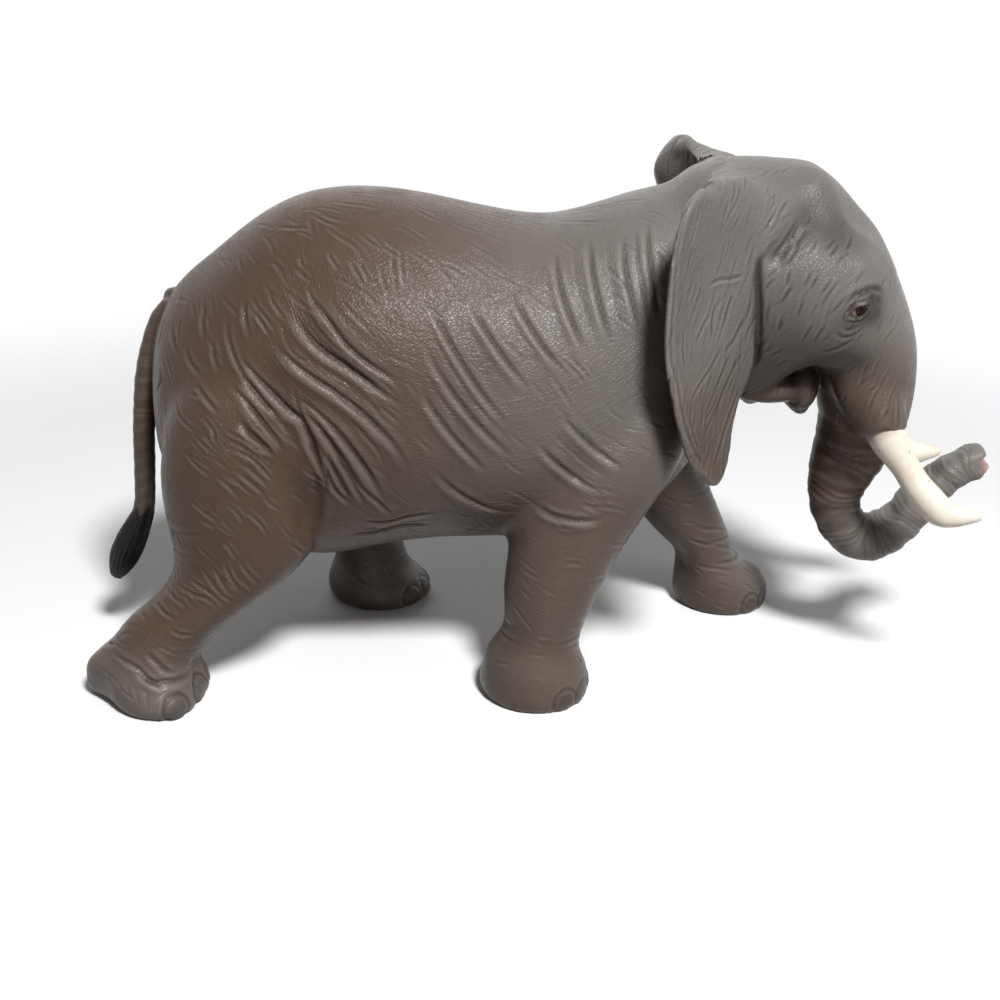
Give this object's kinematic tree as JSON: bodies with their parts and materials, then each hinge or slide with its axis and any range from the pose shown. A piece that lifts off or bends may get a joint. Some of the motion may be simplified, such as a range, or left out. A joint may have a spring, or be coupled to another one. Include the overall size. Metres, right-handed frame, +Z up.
{
  "type": "toy wild animal figure",
  "caption": "Moulded vinyl figure of a walking African elephant with curved tusks and a curled trunk, standing free on flat soles.",
  "frame": {"origin": "middle of the bounding box, on the plane of the soles", "axes": "+X towards the head, +Y to the elephant's left, +Z up"},
  "size_m": [0.1636, 0.0688, 0.0945],
  "materials": {
    "grey_skin": "satin vinyl, moulded wrinkles, brushed grey and brown paint",
    "ivory": "satin cream paint",
    "dark_eye": "gloss paint, dark red-brown"
  },
  "bodies": {
    "root": {"ear_left": "grey_skin", "ear_right": "grey_skin", "eye_left": "dark_eye", "eye_right": "dark_eye", "head": "grey_skin", "leg_front_left": "grey_skin", "leg_front_right": "grey_skin", "leg_hind_left": "grey_skin", "leg_hind_right": "grey_skin", "lower_jaw": "grey_skin", "tail": "grey_skin", "torso_left": "grey_skin", "torso_right": "grey_skin", "trunk": "grey_skin", "tusk_left": "ivory", "tusk_right": "ivory"}
  },
  "joints": []
}
